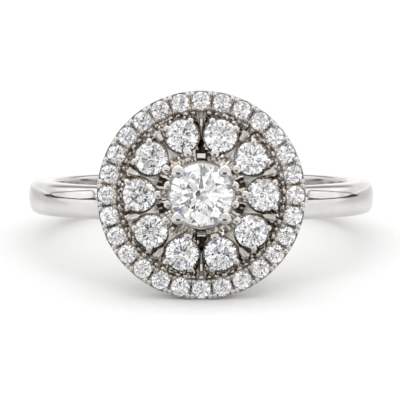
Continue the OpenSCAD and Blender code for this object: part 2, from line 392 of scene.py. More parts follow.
class Mesh:
    """Collects points and faces in millimetres and makes one object of them.

    Points nearer to each other than JOIN become one, and edges shorter than COLLAPSE go, in metres.
    """

    JOIN = 0.0005 * MM
    COLLAPSE = 0.0002 * MM

    def __init__(self) -> None:
        """Starts empty."""
        self.points: list[Vector] = []
        self.faces: list[tuple[int, ...]] = []
        self.finishes: list[int] = []

    def place_points(self, points: Sequence[Point], place: Matrix | None) -> int:
        """Adds points.

        Args:
            points: the points.
            place: moves them before they are added.

        Returns:
            The number of the first one.
        """
        start = len(self.points)
        for p in points:
            v = Vector(p)
            self.points.append(place @ v if place else v)
        return start

    def grid(self, rows: Sequence[Sequence[Point]], close_rows: bool = False, close_columns: bool = False,
             place: Matrix | None = None, finish: Callable[[Vector], int] | None = None) -> None:
        """Adds a net of quads.

        Args:
            rows: the points, row by row, all rows of one length.
            close_rows: joins the last row to the first.
            close_columns: joins each row's end to its start.
            place: moves the points before they are added.
            finish: picks a face's finish from its middle, before it is placed; the first one if not given.
        """
        count, width = len(rows), len(rows[0])
        start = self.place_points([p for row in rows for p in row], place)
        for i in range(count if close_rows else count - 1):
            for j in range(width if close_columns else width - 1):
                a, b = i * width, (i + 1) % count * width
                k = (j + 1) % width
                self.faces.append((start + a + j, start + a + k, start + b + k, start + b + j))
                low, high = rows[i], rows[(i + 1) % count]
                corners = [Vector(c) for c in (low[j], low[k], high[k], high[j])]
                self.finishes.append(finish(sum(corners, Vector()) / 4) if finish else 0)

    def fan(self, ring: Sequence[Point], place: Matrix | None = None) -> None:
        """Adds one flat face.

        Args:
            ring: its corners in order.
            place: moves the points before they are added.
        """
        start = self.place_points(ring, place)
        self.faces.append(tuple(range(start, start + len(ring))))
        self.finishes.append(0)

    def loft(self, rows: Sequence[Sequence[Point]], place: Matrix | None = None,
             round_section: bool = True) -> None:
        """Adds a net whose first and last row are closed with a flat face.

        Args:
            rows: the sections, one after another.
            place: moves the points before they are added.
            round_section: joins each section's end to its start.
        """
        self.grid(rows, close_columns=round_section, place=place)
        self.fan(rows[0][::-1], place)
        self.fan(rows[-1], place)

    def lathe(self, profile: Sequence[Pair], steps: int, place: Matrix | None = None, closed: bool = True,
              finish: Callable[[Vector], int] | None = None) -> None:
        """Turns a profile about Z.

        Args:
            profile: (radius, height) pairs.
            steps: number of steps round the circle.
            place: moves the points before they are added.
            closed: the profile's end joins its start.
            finish: picks a face's finish from its middle, before it is placed.
        """
        rows = []
        for i in range(steps):
            angle = 2 * pi * i / steps
            rows.append([(r * cos(angle), r * sin(angle), z) for r, z in profile])
        self.grid(rows, close_rows=True, close_columns=closed, place=place, finish=finish)

    def tube(self, path: Sequence[Point], radii: Sequence[float], sides: int,
             place: Matrix | None = None) -> None:
        """Sweeps a circle along a path with closed ends.

        Args:
            path: the points of the middle line.
            radii: the radius at each point.
            sides: corners of the circle.
            place: moves the points before they are added.
        """
        line = [Vector(p) for p in path]
        rows = []
        side = None
        for i, p in enumerate(line):
            along = (line[min(i + 1, len(line) - 1)] - line[max(i - 1, 0)]).normalized()
            if side is None:
                side = along.orthogonal().normalized()
            side = (side - along * side.dot(along)).normalized()
            other = along.cross(side)
            angles = [2 * pi * k / sides for k in range(sides)]
            rows.append([tuple(p + radii[i] * (cos(a) * side + sin(a) * other)) for a in angles])
        self.loft(rows, place)

    def build(self, name: str, place: Matrix, materials: Sequence[Material], sharp: float,
              fit: Callable[[np.ndarray], np.ndarray] | None = None) -> Piece:
        """Makes the object, smooth but for its sharp edges.

        Args:
            name: the piece's name.
            place: from the piece's frame in millimetres to the row's frame in metres.
            materials: its finishes, in the order of the faces' numbers.
            sharp: edges that turn more than this many degrees stay sharp.
            fit: moves the points, as an array, before they are placed.

        Returns:
            The new object.
        """
        points = np.array([tuple(p) for p in self.points])
        if fit:
            points = fit(points)
        placed = points @ np.array(place.to_3x3()).T + np.array(place.translation)
        data = bpy.data.meshes.new(name)
        data.from_pydata(placed.tolist(), [], self.faces)
        for material in materials:
            data.materials.append(material)
        for face, number in zip(data.polygons, self.finishes):
            face.material_index = number
        piece = bpy.data.objects.new(name, data)
        bpy.context.scene.collection.objects.link(piece)
        self.clean(data, sharp)
        return piece

    @staticmethod
    def clean(data: bpy.types.Mesh, sharp: float) -> None:
        """Joins double points, turns the faces outwards and marks sharp edges.

        Args:
            data: the mesh.
            sharp: edges that turn more than this many degrees are marked sharp.
        """
        bm = bmesh.new()
        bm.from_mesh(data)
        bmesh.ops.remove_doubles(bm, verts=bm.verts, dist=Mesh.JOIN)
        bmesh.ops.dissolve_degenerate(bm, edges=bm.edges, dist=Mesh.COLLAPSE)
        bmesh.ops.recalc_face_normals(bm, faces=bm.faces)
        for edge in bm.edges:
            edge.smooth = len(edge.link_faces) == 2 and edge.calc_face_angle(0.0) < radians(sharp)
        for face in bm.faces:
            face.smooth = True
        bm.to_mesh(data)
        bm.free()


# The stones


@dataclass(frozen=True)
class StoneRow:
    """A circle of stones of one size in the head's frame; the cut's sizes are shares of the diameter."""

    count: int
    diameter: float
    circle: float
    level: float
    turn: float = 0.0
    girdle: float = 0.015
    crown: float = 0.15
    pavilion: float = 0.43
    culet: float = 0.0129
    table: float = 0.57
    reach: float = 0.7

    def angles(self) -> list[float]:
        """Returns the angle of each stone in degrees."""
        return [self.turn + 360.0 * i / self.count for i in range(self.count)]

    def gaps(self) -> list[float]:
        """Returns the angle of the middle between each stone and the next, in degrees."""
        return [angle + 180.0 / self.count for angle in self.angles()]

    def places(self) -> list[Matrix]:
        """Returns the place of each stone, with its X pointing outwards."""
        return [turned(a, self.circle, self.level) for a in self.angles()]

    def outline(self, gap: float) -> np.ndarray:
        """Works out the outline of a stone that is grown by a gap.

        Args:
            gap: clearance in millimetres.

        Returns:
            (radius, height) rows from the culet to the table.
        """
        r, half, rise = self.diameter / 2, self.diameter * self.girdle, self.diameter * self.crown
        depth = self.diameter * (self.pavilion + self.culet)
        flat = cos(pi / 8)
        star = r * (1 + self.table * flat) / 2
        edge = r - (r - star) * r * (1 - self.table) / (r - star * flat)
        return np.array([(0.0, -half - depth - gap), (r + gap, -half - gap), (r + gap, half + gap),
                         (edge + gap, half + rise + gap), (0.0, half + rise + gap)])

    def push_out(self, points: np.ndarray, gap: float) -> np.ndarray:
        """Moves points that lie in a stone onto its outline.

        Args:
            points: points in the head's frame.
            gap: clearance in millimetres.

        Returns:
            The moved points.
        """
        outline = self.outline(gap)
        for place in self.places():
            middle = np.array(place.translation)
            for i in np.flatnonzero(np.abs(points - middle).max(1) < self.diameter * self.reach):
                x, y, z = points[i] - middle
                rho = hypot(x, y)
                moved = push_to_outline(rho, z, outline)
                if moved:
                    scale = moved[0] / rho if rho > TINY else 0.0
                    points[i] = middle + np.array([x * scale, y * scale, moved[1]])
        return points


def push_to_outline(rho: float, z: float, outline: np.ndarray) -> Pair | None:
    """Finds the nearest point of a convex outline.

    Args:
        rho: the point's distance from the stone's axis.
        z: its height.
        outline: the stone's outline from culet to table.

    Returns:
        The nearest point on the outline, as radius and height, or None for a point outside it.
    """
    best, found = None, inf
    for (r0, z0), (r1, z1) in zip(outline[:-1], outline[1:]):
        dr, dz = r1 - r0, z1 - z0
        length = hypot(dr, dz)
        inside = ((z - z0) * dr - (rho - r0) * dz) / length
        if inside <= 0:
            return None
        if inside < found:
            found = inside
            along = min(max(((rho - r0) * dr + (z - z0) * dz) / length ** 2, 0.0), 1.0)
            best = (r0 + along * dr, z0 + along * dz)
    return best


@dataclass(frozen=True)
class Stones:
    """All the cut stones, which keep their solids."""

    centre: StoneRow = StoneRow(1, 3.55, 0.0, 12.95)
    cluster: StoneRow = StoneRow(10, 1.87, 3.47, 12.35)
    halo: StoneRow = StoneRow(28, 1.05, 5.28, 12.0, turn=-90.0)
    gap: float = 0.012
    finish: CutStone = CutStone("diamond")
    # The centre stone's painted flashes of fire are larger and fewer.
    centre_finish: CutStone = CutStone("centre_diamond", fire_flash_size=0.13 * MM, fire_flashes=(
        (0.0, (0.07, 0.13, 0.32)), (0.022, (0.55, 0.36, 0.18)), (0.03, (0.30, 0.29, 0.28)),
        (0.045, (1.0, 1.0, 1.0))))

    def dress(self) -> list[str]:
        """Gives each stone its finish, with flat facets.

        Returns:
            The stones' names.
        """
        finish, centre_finish = self.finish.build(), self.centre_finish.build()
        names = [n for n in frame["nodes"] if "stone" in n]
        for name in names:
            data = frame["nodes"][name].data
            data.materials.clear()
            data.materials.append(centre_finish if name.startswith("centre") else finish)
            for face in data.polygons:
                face.use_smooth = False
        return names

    def clear(self, points: np.ndarray) -> np.ndarray:
        """Moves metal points out of every stone.

        Args:
            points: points in the head's frame.

        Returns:
            The moved points.
        """
        for row in (self.centre, self.cluster, self.halo):
            points = row.push_out(points, self.gap)
        return points


# The ring's and the head's frames


@dataclass
class Frames:
    """The band's frame and the head's frame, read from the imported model."""

    stones: Stones
    ring: Matrix = field(init=False)
    head: Matrix = field(init=False)

    def __post_init__(self) -> None:
        """Reads the finger hole's mount and the middles of the halo's stones and of the centre stone."""
        hole = next(m for m in frame["record"]["mounts"] if m["name"] == "finger_hole")
        self.ring = self.axes(Vector(hole["pos_m"]), Vector(hole["axis"]).normalized())
        low, high = self.stone_middle("halo_stone"), self.stone_middle("centre_stone")
        out = (high - low).normalized()
        rise, halo, centre = (high - low).length / MM, self.stones.halo, self.stones.centre
        share = (rise - (centre.level - halo.level)) / (centre.diameter - halo.diameter)
        height = halo.level + share * halo.diameter
        self.head = self.axes(low - out * height * MM, out)

    @staticmethod
    def stone_middle(start: str) -> Vector:
        """Works out the middle of some stones.

        Args:
            start: the letters that their names start with.

        Returns:
            The mean of their middles.
        """
        middles = [np.mean([v.co for v in node.data.vertices], axis=0)
                   for name, node in frame["nodes"].items() if name.startswith(start)]
        return Vector(np.mean(middles, axis=0).tolist())

    @staticmethod
    def axes(middle: Vector, up: Vector) -> Matrix:
        """Makes a frame in millimetres with Z along up and X along the row's X.

        Args:
            middle: its origin in metres.
            up: its Z direction.

        Returns:
            The matrix to the row's frame.
        """
        across = Vector((1, 0, 0))
        forward = up.cross(across).normalized()
        turn = Matrix((across, forward, up)).transposed().to_4x4()
        return Matrix.Translation(middle) @ turn @ Matrix.Scale(MM, 4)


# The metal


@dataclass(frozen=True)
class Blank:
    """A piece of the soldered metal before it is finished, in the head's frame or in the ring's.

    Edges that turn more than sharp degrees stay sharp. The metals stand in the order of the faces' numbers.
    A blank that is fitted is moved clear of the stones.
    """

    name: str
    mesh: Mesh
    sharp: float
    metals: tuple[Metal, ...] = (Metal.POLISHED,)
    fitted: bool = False
    on_head: bool = True


@dataclass
class Bench:
    """Where the blanks are finished and fixed to the ring, in place of the plain metal."""

    stones: Stones
    frames: Frames
    metals: dict[Metal, Material]

    def finish(self, blank: Blank) -> Piece:
        """Makes a piece of a blank.

        Args:
            blank: the blank.

        Returns:
            The piece.
        """
        piece = blank.mesh.build(blank.name, self.frames.head if blank.on_head else self.frames.ring,
                                 [self.metals[metal] for metal in blank.metals], blank.sharp,
                                 self.stones.clear if blank.fitted else None)
        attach(piece, "root")
        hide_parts("mounting")
        return piece


@dataclass
class Band:
    """The plain band: domed outside, flat in the finger hole."""

    hole_r: float = 8.65
    thickness: float = 1.45
    width: float = 1.9
    dome_r: float = 2.5
    dome_steps: int = 10
    edge_r: float = 0.45
    edge_steps: int = 10
    inner_r: float = 0.2
    inner_steps: int = 5
    steps: int = 288
    sharp: float = 40.0

    def profile(self) -> Profile:
        """Works out the band's section.

        Returns:
            The closed profile, from the finger hole's upper edge over the outside to its lower edge.
        """
        half = self.width / 2
        dome_x = self.hole_r + self.thickness - self.dome_r
        edge_z = half - self.edge_r
        edge_x = dome_x + sqrt((self.dome_r - self.edge_r) ** 2 - edge_z ** 2)
        turn = degrees(atan2(edge_z, edge_x - dome_x))
        inner = (self.hole_r + self.inner_r, half - self.inner_r)
        upper = arc(inner, self.inner_r, 180, 90, self.inner_steps)
        upper += arc((edge_x, edge_z), self.edge_r, 90, turn, self.edge_steps)
        upper += arc((dome_x, 0), self.dome_r, turn, 0, self.dome_steps)[1:]
        return upper + [(x, -z) for x, z in reversed(upper[:-1])]

    def inside(self, middle: Vector) -> int:
        """Returns 1 for a face in the finger hole, else 0."""
        return 1 if hypot(middle.x, middle.y) < self.hole_r + self.inner_r / 4 else 0

    def build(self) -> list[Blank]:
        """Builds the band.

        Returns:
            Its blank.
        """
        mesh = Mesh()
        mesh.lathe(self.profile(), self.steps, finish=self.inside)
        return [Blank("band", mesh, self.sharp, (Metal.POLISHED, Metal.INNER), on_head=False)]


@dataclass
class HaloFrame:
    """The halo's plate: a cell round each stone, scalloped inside, with a tapered outer wall.

    The seat's rings are (share of its radius, share of the stone's depth, drop), the points of the rim and
    of the back (way out, drop). The wall goes in and down from its first value to its second.
    """

    row: StoneRow
    rim_r: float = 5.85
    rim: tuple[Pair, ...] = ((0.008, 0.05), (-0.01, 0.12))
    inner_r: float = 4.79
    rib: float = 0.075
    wall_in: Pair = (0.02, 0.34)
    wall_down: Pair = (0.14, 1.1)
    wall_shares: tuple[float, ...] = (0.3, 0.6, 1.0)
    back: Pair = (0.02, 0.5)
    back_foot: float = 0.1
    groove: float = 0.13
    groove_w: float = 0.09
    groove_reach: float = 0.26
    seat_gap: float = 0.018
    seat: tuple[Point, ...] = ((0.22, 0.97, 0.0), (0.6, 0.5, 0.0), (0.93, 0.0, 0.12), (1.0, 0.0, 0.045))
    plate_shares: tuple[float, ...] = (0.0, 0.25, 0.6, 0.88)
    bevel: float = 0.012
    bright_r: float = 5.78
    bright_lip: float = 0.02
    arc_steps: int = 14
    side_steps: int = 6
    sharp: float = 35.0

    def hole(self) -> float:
        """Returns the radius of a stone's seat."""
        return self.row.diameter / 2 + self.seat_gap

    def inner_edge(self, angle: float) -> float:
        """Works out the scalloped inner radius.

        Args:
            angle: the angle from the stone, in radians.

        Returns:
            The radius.
        """
        side = self.row.circle * sin(angle)
        reach = self.row.diameter / 2 + self.rib
        if abs(side) >= reach:
            return self.inner_r
        return min(self.row.circle * cos(angle) - sqrt(reach ** 2 - side ** 2), self.inner_r)

    def top(self, x: float, y: float) -> float:
        """Works out the plate's height, which is lower in the grooves between the stones.

        Args:
            x: the way out from the head's middle.
            y: the way to the side.

        Returns:
            The height.
        """
        to_side = (pi / self.row.count - abs(atan2(y, x))) * self.row.circle
        to_circle = abs(hypot(x, y) - self.row.circle)
        near_side = max(0.0, 1 - to_side / self.groove_w)
        near_circle = max(0.0, 1 - to_circle / self.groove_reach)
        return self.row.level - self.groove * near_side * sqrt(near_circle)

    def border(self) -> tuple[Profile, Profile, Profile]:
        """Works out the borders of a cell.

        Returns:
            Its outer arc, its inner edge and its side, as (x, y) points.
        """
        half = pi / self.row.count
        angles = [between((-half, half), share) for share in shares(self.arc_steps)]
        outer = [(self.rim_r * cos(a), self.rim_r * sin(a)) for a in angles]
        inner = [(self.inner_edge(a) * cos(a), self.inner_edge(a) * sin(a)) for a in angles]
        radii = [between((self.inner_r, self.rim_r), share) for share in shares(self.side_steps)[1:-1]]
        return outer, inner, [(r * cos(half), r * sin(half)) for r in radii]

    def shaded(self, middle: Vector) -> int:
        """Returns 1 for the metal between the stones, which gets the painted shade, and 0 for the seat and
        the outer rim, which stay polished.
        """
        seat = hypot(middle.x - self.row.circle, middle.y) < self.hole() + self.bright_lip
        return 0 if seat or hypot(middle.x, middle.y) > self.bright_r else 1

    def cell(self, mesh: Mesh, place: Matrix) -> None:
        """Adds one stone's cell.

        Args:
            mesh: where it is added.
            place: the cell's turn about the head's middle.
        """
        outer, inner, side = self.border()
        loop = outer + side[::-1] + inner[::-1] + [(x, -y) for x, y in side]
        circle, level, hole = self.row.circle, self.row.level, self.hole()
        depth = self.row.pavilion * self.row.diameter
        ways = [(x - circle, y, hypot(x - circle, y)) for x, y in loop]
        rings = []
        for share, deep, drop in self.seat:
            r, z = hole * share, level - deep * depth - drop
            rings.append([(circle + x * r / far, y * r / far, z) for x, y, far in ways])
        for share in self.plate_shares:
            ring = []
            for x, y, far in ways:
                t = between(((hole + self.bevel) / far, 1.0), share)
                ring.append((circle + x * t, y * t, self.top(circle + x * t, y * t)))
            rings.append(ring)
        rings.append([(x, y, self.top(x, y) - self.bevel) for x, y in loop])
        mesh.grid(rings, close_columns=True, place=place, finish=self.shaded)
        mesh.fan(rings[0][::-1], place)
        down = []
        for (x0, y0), (x1, y1) in zip(outer, inner):
            turn, back_r = atan2(y0, x0), hypot(x1, y1)
            line = [(self.rim_r, self.top(x0, y0) - self.bevel)]
            line += [(self.rim_r + out, level - drop) for out, drop in self.rim]
            line += [(self.rim_r - between(self.wall_in, share), level - between(self.wall_down, share))
                     for share in self.wall_shares]
            line += [(self.inner_r + self.back_foot, level - self.wall_down[1]),
                     (back_r + self.back[0], level - self.back[1]), (back_r, self.top(x1, y1) - self.bevel)]
            down.append([(r * cos(turn), r * sin(turn), z) for r, z in line])
        mesh.grid(down, place=place)

    def build(self) -> list[Blank]:
        """Builds the frame.

        Returns:
            Its blank.
        """
        mesh = Mesh()
        for angle in self.row.angles():
            self.cell(mesh, turned(angle))
        # The plate between the stones gets the painted shade; seats and outer rim stay polished.
        return [Blank("halo_frame", mesh, self.sharp, (Metal.POLISHED, Metal.PAINTED_SHADE))]


@dataclass
class Beads:
    """Round beads pushed up over the edges of the halo's stones; the inner ones are in a darker, warmer
    gold as painted shade.

    The foot's points are (share of the bead's radius, height).
    """

    row: StoneRow
    diameter: float = 0.28
    foot: tuple[Pair, ...] = ((1.28, -0.13), (1.06, -0.07))
    flat: float = 0.72
    cap: Pair = (-12.0, 88.0)
    cap_steps: int = 7
    out: float = 0.4
    side: float = 0.128
    rise: float = 0.06
    sides: int = 14
    sharp: float = 80.0

    def dome(self) -> Profile:
        """Works out the shape of a bead, which flares out at its foot.

        Returns:
            The open profile, from the foot to the top.
        """
        r = self.diameter / 2
        foot = [(r * share, z) for share, z in self.foot]
        return foot + [(x, self.flat * z) for x, z in arc((0, 0), r, *self.cap, self.cap_steps)]

    def build(self) -> list[Blank]:
        """Builds all the beads as one joined mesh.

        Returns:
            Their blank.
        """
        mesh = Mesh()
        for angle in self.row.gaps():
            # The inner beads, number 1, get the darker painted shade.
            for out, number in ((self.out, 0), (-self.out, 1)):
                for side in (-self.side, self.side):
                    spot = turned(angle, self.row.circle + out, self.row.level + self.rise)
                    spot @= Matrix.Translation((0, side, 0))
                    mesh.lathe(self.dome(), self.sides, spot, closed=False, finish=lambda middle: number)
        return [Blank("halo_beads", mesh, self.sharp, (Metal.POLISHED, Metal.INNER_BEAD_SHADE), fitted=True)]


@dataclass
class Cups:
    """A tapered cup with a thin rim under each cluster stone.

    The wall's points are (radius, height), the rim's (way out from its radius, height), and those of the
    lip and the seat (way out from the stone's radius, height).
    """

    row: StoneRow
    rim_r: float = 1.0
    rim: tuple[Pair, ...] = ((0.0, -0.06), (0.004, -0.01), (-0.012, 0.012))
    lip: tuple[Pair, ...] = ((0.03, 0.016), (0.012, 0.0), (0.005, -0.05))
    seat: Pair = (0.7, -0.3)
    hole_r: float = 0.3
    hole_top: float = -0.62
    foot_r: float = 0.6
    height: float = 0.95
    bevel: float = 0.05
    wall: tuple[Pair, ...] = ((0.84, -0.42), (0.93, -0.2))
    steps: int = 40
    sharp: float = 35.0

    def profile(self) -> Profile:
        """Works out a cup's section about the stone's axis.

        Returns:
            The closed profile, from the lip down through the hole and up the wall.
        """
        r = self.row.diameter / 2
        lip = [(r + out, z) for out, z in self.lip]
        seat = [(r * self.seat[0], self.seat[1]), (self.hole_r, self.hole_top)]
        foot = [(self.hole_r, -self.height), (self.foot_r, -self.height),
                (self.foot_r + self.bevel, self.bevel - self.height)]
        return lip + seat + foot + [*self.wall] + [(self.rim_r + out, z) for out, z in self.rim]

    def build(self) -> list[Blank]:
        """Builds the cups as one joined mesh.

        Returns:
            Their blank.
        """
        mesh = Mesh()
        for spot in self.row.places():
            mesh.lathe(self.profile(), self.steps, spot)
        # The cups are all in the painted shade, dark brown round the cluster stones.
        return [Blank("cluster_cups", mesh, self.sharp, (Metal.PAINTED_SHADE,))]


@dataclass(frozen=True)
class Claw:
    """A prong about its own axis: a wire that ends in a round bead.

    The wire's shares are those of its radius, the neck's points (share of the bead's radius, drop as a
    share of it).
    """

    wire_r: float
    bead_r: float
    foot: float
    top: float
    foot_h: float = 0.05
    wire: Pair = (0.9, 0.94)
    wire_drop: float = 0.9
    neck: tuple[Pair, ...] = ((0.8, 0.6), (0.94, 0.32))
    bevel: float = 0.012
    slope: float = 51.0
    cap_end: float = 89.5
    cap_steps: int = 10

    def profile(self) -> Profile:
        """Works out the prong's shape.

        Returns:
            The open profile, from the foot to the bead's top.
        """
        cap_r = self.bead_r / sin(radians(self.slope))
        edge = self.top - cap_r * (1 - cos(radians(self.slope)))
        low, high = self.wire_r * self.wire[0], self.wire_r * self.wire[1]
        under = edge - self.bead_r * self.wire_drop
        wire = [(low, self.foot), (low, self.foot + self.foot_h), (high, under)]
        neck = [(self.bead_r * share, edge - self.bead_r * drop) for share, drop in self.neck]
        cap = arc((0, self.top - cap_r), cap_r, 90 - self.slope, self.cap_end, self.cap_steps)
        return wire + neck + [(self.bead_r, edge - self.bevel)] + cap

    def add(self, mesh: Mesh, sides: int, place: Matrix) -> None:
        """Adds the prong to a mesh, at a place in the head's frame."""
        mesh.lathe(self.profile(), sides, place, closed=False)


@dataclass
class RecessFloor:
    """The uneven, faceted plate under the cups, with small round lumps beside the halo.

    A slot is (inner radius, outer radius, half its angle in degrees), in the gaps between the cups that
    are numbered in ends and sides; a slot is painted near black as the shade of an opening.
    """

    inner_r: float = 1.9
    outer_r: float = 4.88
    level: float = 11.5
    under: float = 11.26
    rings: int = 19
    steps: int = 200
    relief: float = 0.09
    calm_rings: int = 6
    calm_steps: int = 3
    calm_share: float = 0.6
    scatter: Point = (12.9898, 78.233, 43758.5453)
    under_h: float = 0.1
    spread: float = 36.0
    ends: tuple[int, ...] = (2, 7)
    end_slots: tuple[Point, ...] = ((1.9, 2.55, 8.5), (2.5, 3.2, 3.4))
    sides: tuple[int, ...] = (0, 4, 5, 9)
    side_slots: tuple[Point, ...] = ((2.06, 2.64, 6.0),)
    sharp: float = 4.0
    lump_count: int = 66
    lump_d: float = 0.29
    lump_wire: float = 0.45
    lump_r: float = 4.64
    lump_foot: float = -0.1
    lump_rise: float = 0.56
    lump_drop: float = 0.3
    lump_share: float = 0.618
    lump_sides: int = 16
    lump_sharp: float = 34.0

    def slotted(self, middle: Vector) -> int:
        """Picks a face's finish.

        Args:
            middle: the face's middle.

        Returns:
            1 for the slots between the cups, which are painted near black as shade, 2 for the underside,
            else 0.
        """
        if middle.z < self.under + self.under_h:
            return 2
        angle = degrees(atan2(middle.y, middle.x)) % 360.0
        away = abs(angle % self.spread - self.spread / 2)
        gap = int(angle // self.spread)
        slots = self.end_slots if gap in self.ends else self.side_slots if gap in self.sides else ()
        r = hypot(middle.x, middle.y)
        return 1 if any(low < r < high and away < half for low, high, half in slots) else 0

    def height(self, ring: int, step: int) -> float:
        """Works out an uneven height, which jumps about but is the same in each run.

        Args:
            ring: the corner's number from the inner edge.
            step: its number round the circle.

        Returns:
            The height.
        """
        calm = ring < self.calm_rings
        turn = step // self.calm_steps if calm else step
        by_ring, by_turn, size = self.scatter
        wave = sin(by_ring * ring + by_turn * turn) * size
        return self.level + self.relief * (self.calm_share if calm else 1.0) * (wave - int(wave))

    def plate(self) -> Mesh:
        """Models the plate, which is faceted above and flat below.

        Returns:
            Its mesh.
        """
        rows = []
        for step in range(self.steps):
            row = []
            for ring, share in enumerate(shares(self.rings - 1)):
                angle = 2 * pi * (step + ring % 2 / 2) / self.steps
                r = between((self.inner_r, self.outer_r), share)
                row.append((r * cos(angle), r * sin(angle), self.height(ring, step)))
            angle = 2 * pi * step / self.steps
            row += [(r * cos(angle), r * sin(angle), self.under) for r in (self.outer_r, self.inner_r)]
            rows.append(row)
        mesh = Mesh()
        mesh.grid(rows, close_rows=True, close_columns=True, finish=self.slotted)
        return mesh

    def lumps(self) -> Mesh:
        """Models the lumps, which are of uneven height.

        Returns:
            Their mesh.
        """
        mesh = Mesh()
        for i in range(self.lump_count):
            top = self.level + self.lump_rise - self.lump_drop * (i * self.lump_share % 1)
            claw = Claw(self.lump_d * self.lump_wire, self.lump_d / 2, self.level + self.lump_foot, top)
            claw.add(mesh, self.lump_sides, turned((i + 0.5) * 360.0 / self.lump_count, self.lump_r))
        return mesh

    def build(self) -> list[Blank]:
        """Builds the plate and the lumps.

        Returns:
            Their blanks.
        """
        # The slots are painted near black as the shade of openings; the underside is polished.
        metals = (Metal.RECESS, Metal.SLOT_SHADE, Metal.POLISHED)
        return [Blank("recess_floor", self.plate(), self.sharp, metals),
                Blank("recess_lumps", self.lumps(), self.lump_sharp, fitted=True)]


@dataclass
class Brackets:
    """The metal between the cups: a web with a valley and a tongue over it, or a waisted plate with a bar.

    Reaches are (inner radius, outer radius). The web's points are (radius, drop from the top). The sections
    of the plate and of the bar are (share of half the width, rise); the plate's rows are (radius, half its
    width, rise).
    """

    row: StoneRow
    halo: HaloFrame
    ends: tuple[int, ...] = (2, 7)
    foot: float = 11.3
    top: float = 12.1
    web_t: float = 0.16
    web_in: float = 2.3
    web_under: float = 0.1
    web_drop: float = 0.5
    web_edge: float = 0.03
    web_line: tuple[Pair, ...] = ((4.55, 0.45), (4.1, 0.35), (2.9, 0.3), (2.5, 0.5))
    valley_reach: Pair = (2.55, 3.5)
    valley_half: float = 0.48
    valley_tip: float = 0.05
    valley_narrows: float = 1.3
    valley_low: Pair = (-0.48, -0.14)
    valley_rise: Pair = (0.26, 0.06)
    valley_bend: float = 2.2
    valley_base: float = -0.85
    valley_bright: float = 0.6
    tongue_reach: Pair = (3.58, 4.42)
    tongue_half: Pair = (0.225, 0.25)
    tongue_tip: float = 0.01
    tongue_ends: int = 6
    tongue_crest: Pair = (0.02, 0.09)
    tongue_fall: float = 0.05
    tongue_dome: float = 0.08
    tongue_bend: int = 4
    plate_rows: tuple[Point, ...] = (
        (3.12, 0.16, -0.23), (3.25, 0.11, -0.09), (3.5, 0.1, -0.03), (3.8, 0.15, -0.03), (4.1, 0.2, -0.05),
        (4.4, 0.24, -0.09), (4.68, 0.27, -0.17))
    plate_section: tuple[Pair, ...] = ((1.0, -0.5), (1.0, 0.0), (0.75, 0.03), (0.35, -0.05))
    bar_radii: tuple[float, ...] = (3.87, 3.9, 4.22, 4.25)
    bar_half: float = 0.07
    bar_section: tuple[Pair, ...] = ((1.0, -0.2), (1.0, 0.06), (0.5, 0.08))
    long_steps: int = 8
    cross_steps: int = 12
    sharp: float = 30.0

    def web(self) -> list[list[Point]]:
        """Works out the upright web, which ends under the halo's plate.

        Returns:
            Its sections, from side to side.
        """
        out, low = self.halo.inner_r + self.web_under, self.top - self.web_drop
        line = [(self.web_in, self.foot), (out, self.foot), (out, low)]
        line += [(r, self.top - drop) for r, drop in self.web_line] + [(self.web_in, low)]
        half, edge = self.web_t / 2, self.web_edge
        return [[(x, y, z - (inset if z > self.foot else 0)) for x, z in line]
                for y, inset in ((-half, edge), (edge - half, 0), (half - edge, 0), (half, edge))]

    def valley_width(self, r: float) -> float:
        """Works out half the valley's width.

        Args:
            r: the radius in the head's frame.

        Returns:
            Half the width there.
        """
        near, far = self.valley_reach
        share = min(max((r - near) / (far - near), 0.0), 1.0)
        return self.valley_half * (1 - share) ** self.valley_narrows + self.valley_tip

    def valley_shaded_side(self, middle: Vector) -> int:
        """Returns 1 for a face on the valley's sides, which get the painted shade, else 0."""
        return 1 if abs(middle.y) > self.valley_bright * self.valley_width(middle.x) else 0

    def valley(self) -> list[list[Point]]:
        """Works out a curved trough that opens towards the centre stone like a V.

        Returns:
            Its sections, from the inside out.
        """
        level = self.row.level
        rows = []
        for share in shares(self.long_steps):
            r = between(self.valley_reach, share)
            low, rise = level + between(self.valley_low, share), between(self.valley_rise, share)
            rows.append([(r, self.valley_width(r) * u, low + rise * abs(u) ** self.valley_bend)
                         for u in (2 * t - 1 for t in shares(self.cross_steps))])
        under = [[(x, y, level + self.valley_base) for x, y, z in row] for row in (rows[0], rows[-1])]
        return [under[0]] + rows + [under[1]]

    def tongue(self) -> list[list[Point]]:
        """Works out a smooth rounded tongue over the web, between two stones and the halo.

        Returns:
            Its sections, from the inside out.
        """
        low = self.top - self.web_drop
        rows = []
        for share in shares(self.long_steps):
            r = between(self.tongue_reach, share)
            tip = (2 * share - 1) ** self.tongue_ends
            half = between(self.tongue_half, share) * sqrt(1 - tip) + self.tongue_tip
            crest = self.top + between(self.tongue_crest, share) - self.tongue_fall * tip
            over = [(r, half * u, crest - self.tongue_dome * u ** self.tongue_bend)
                    for u in (2 * t - 1 for t in shares(self.cross_steps))]
            rows.append([(r, -half, low)] + over + [(r, half, low)])
        return rows

    def build(self) -> list[Blank]:
        """Builds the webs and plates, the valleys and tongues, and the bars.

        Returns:
            Their blanks.
        """
        plate = [ridge(r, half, self.top + rise, self.plate_section) for r, half, rise in self.plate_rows]
        bar = [ridge(r, self.bar_half, self.top, self.bar_section) for r in self.bar_radii]
        webs, smooth, bars = Mesh(), Mesh(), Mesh()
        for i, angle in enumerate(self.row.gaps()):
            spot = turned(angle)
            if i in self.ends:
                webs.loft(plate, spot, round_section=False)
                bars.loft(bar, spot, round_section=False)
            else:
                webs.loft(self.web(), spot)
                # The valleys' sides get the painted shade.
                smooth.grid(self.valley(), place=spot, finish=self.valley_shaded_side)
                smooth.loft(self.tongue(), spot, round_section=False)
        # The webs and the end plates get the deep painted shade.
        return [Blank("cluster_webs", webs, self.sharp, (Metal.DEEP_SHADE,), fitted=True),
                Blank("cluster_tongues", smooth, self.sharp, (Metal.SOFT, Metal.PAINTED_SHADE), fitted=True),
                Blank("cluster_bars", bars, self.sharp, fitted=True)]


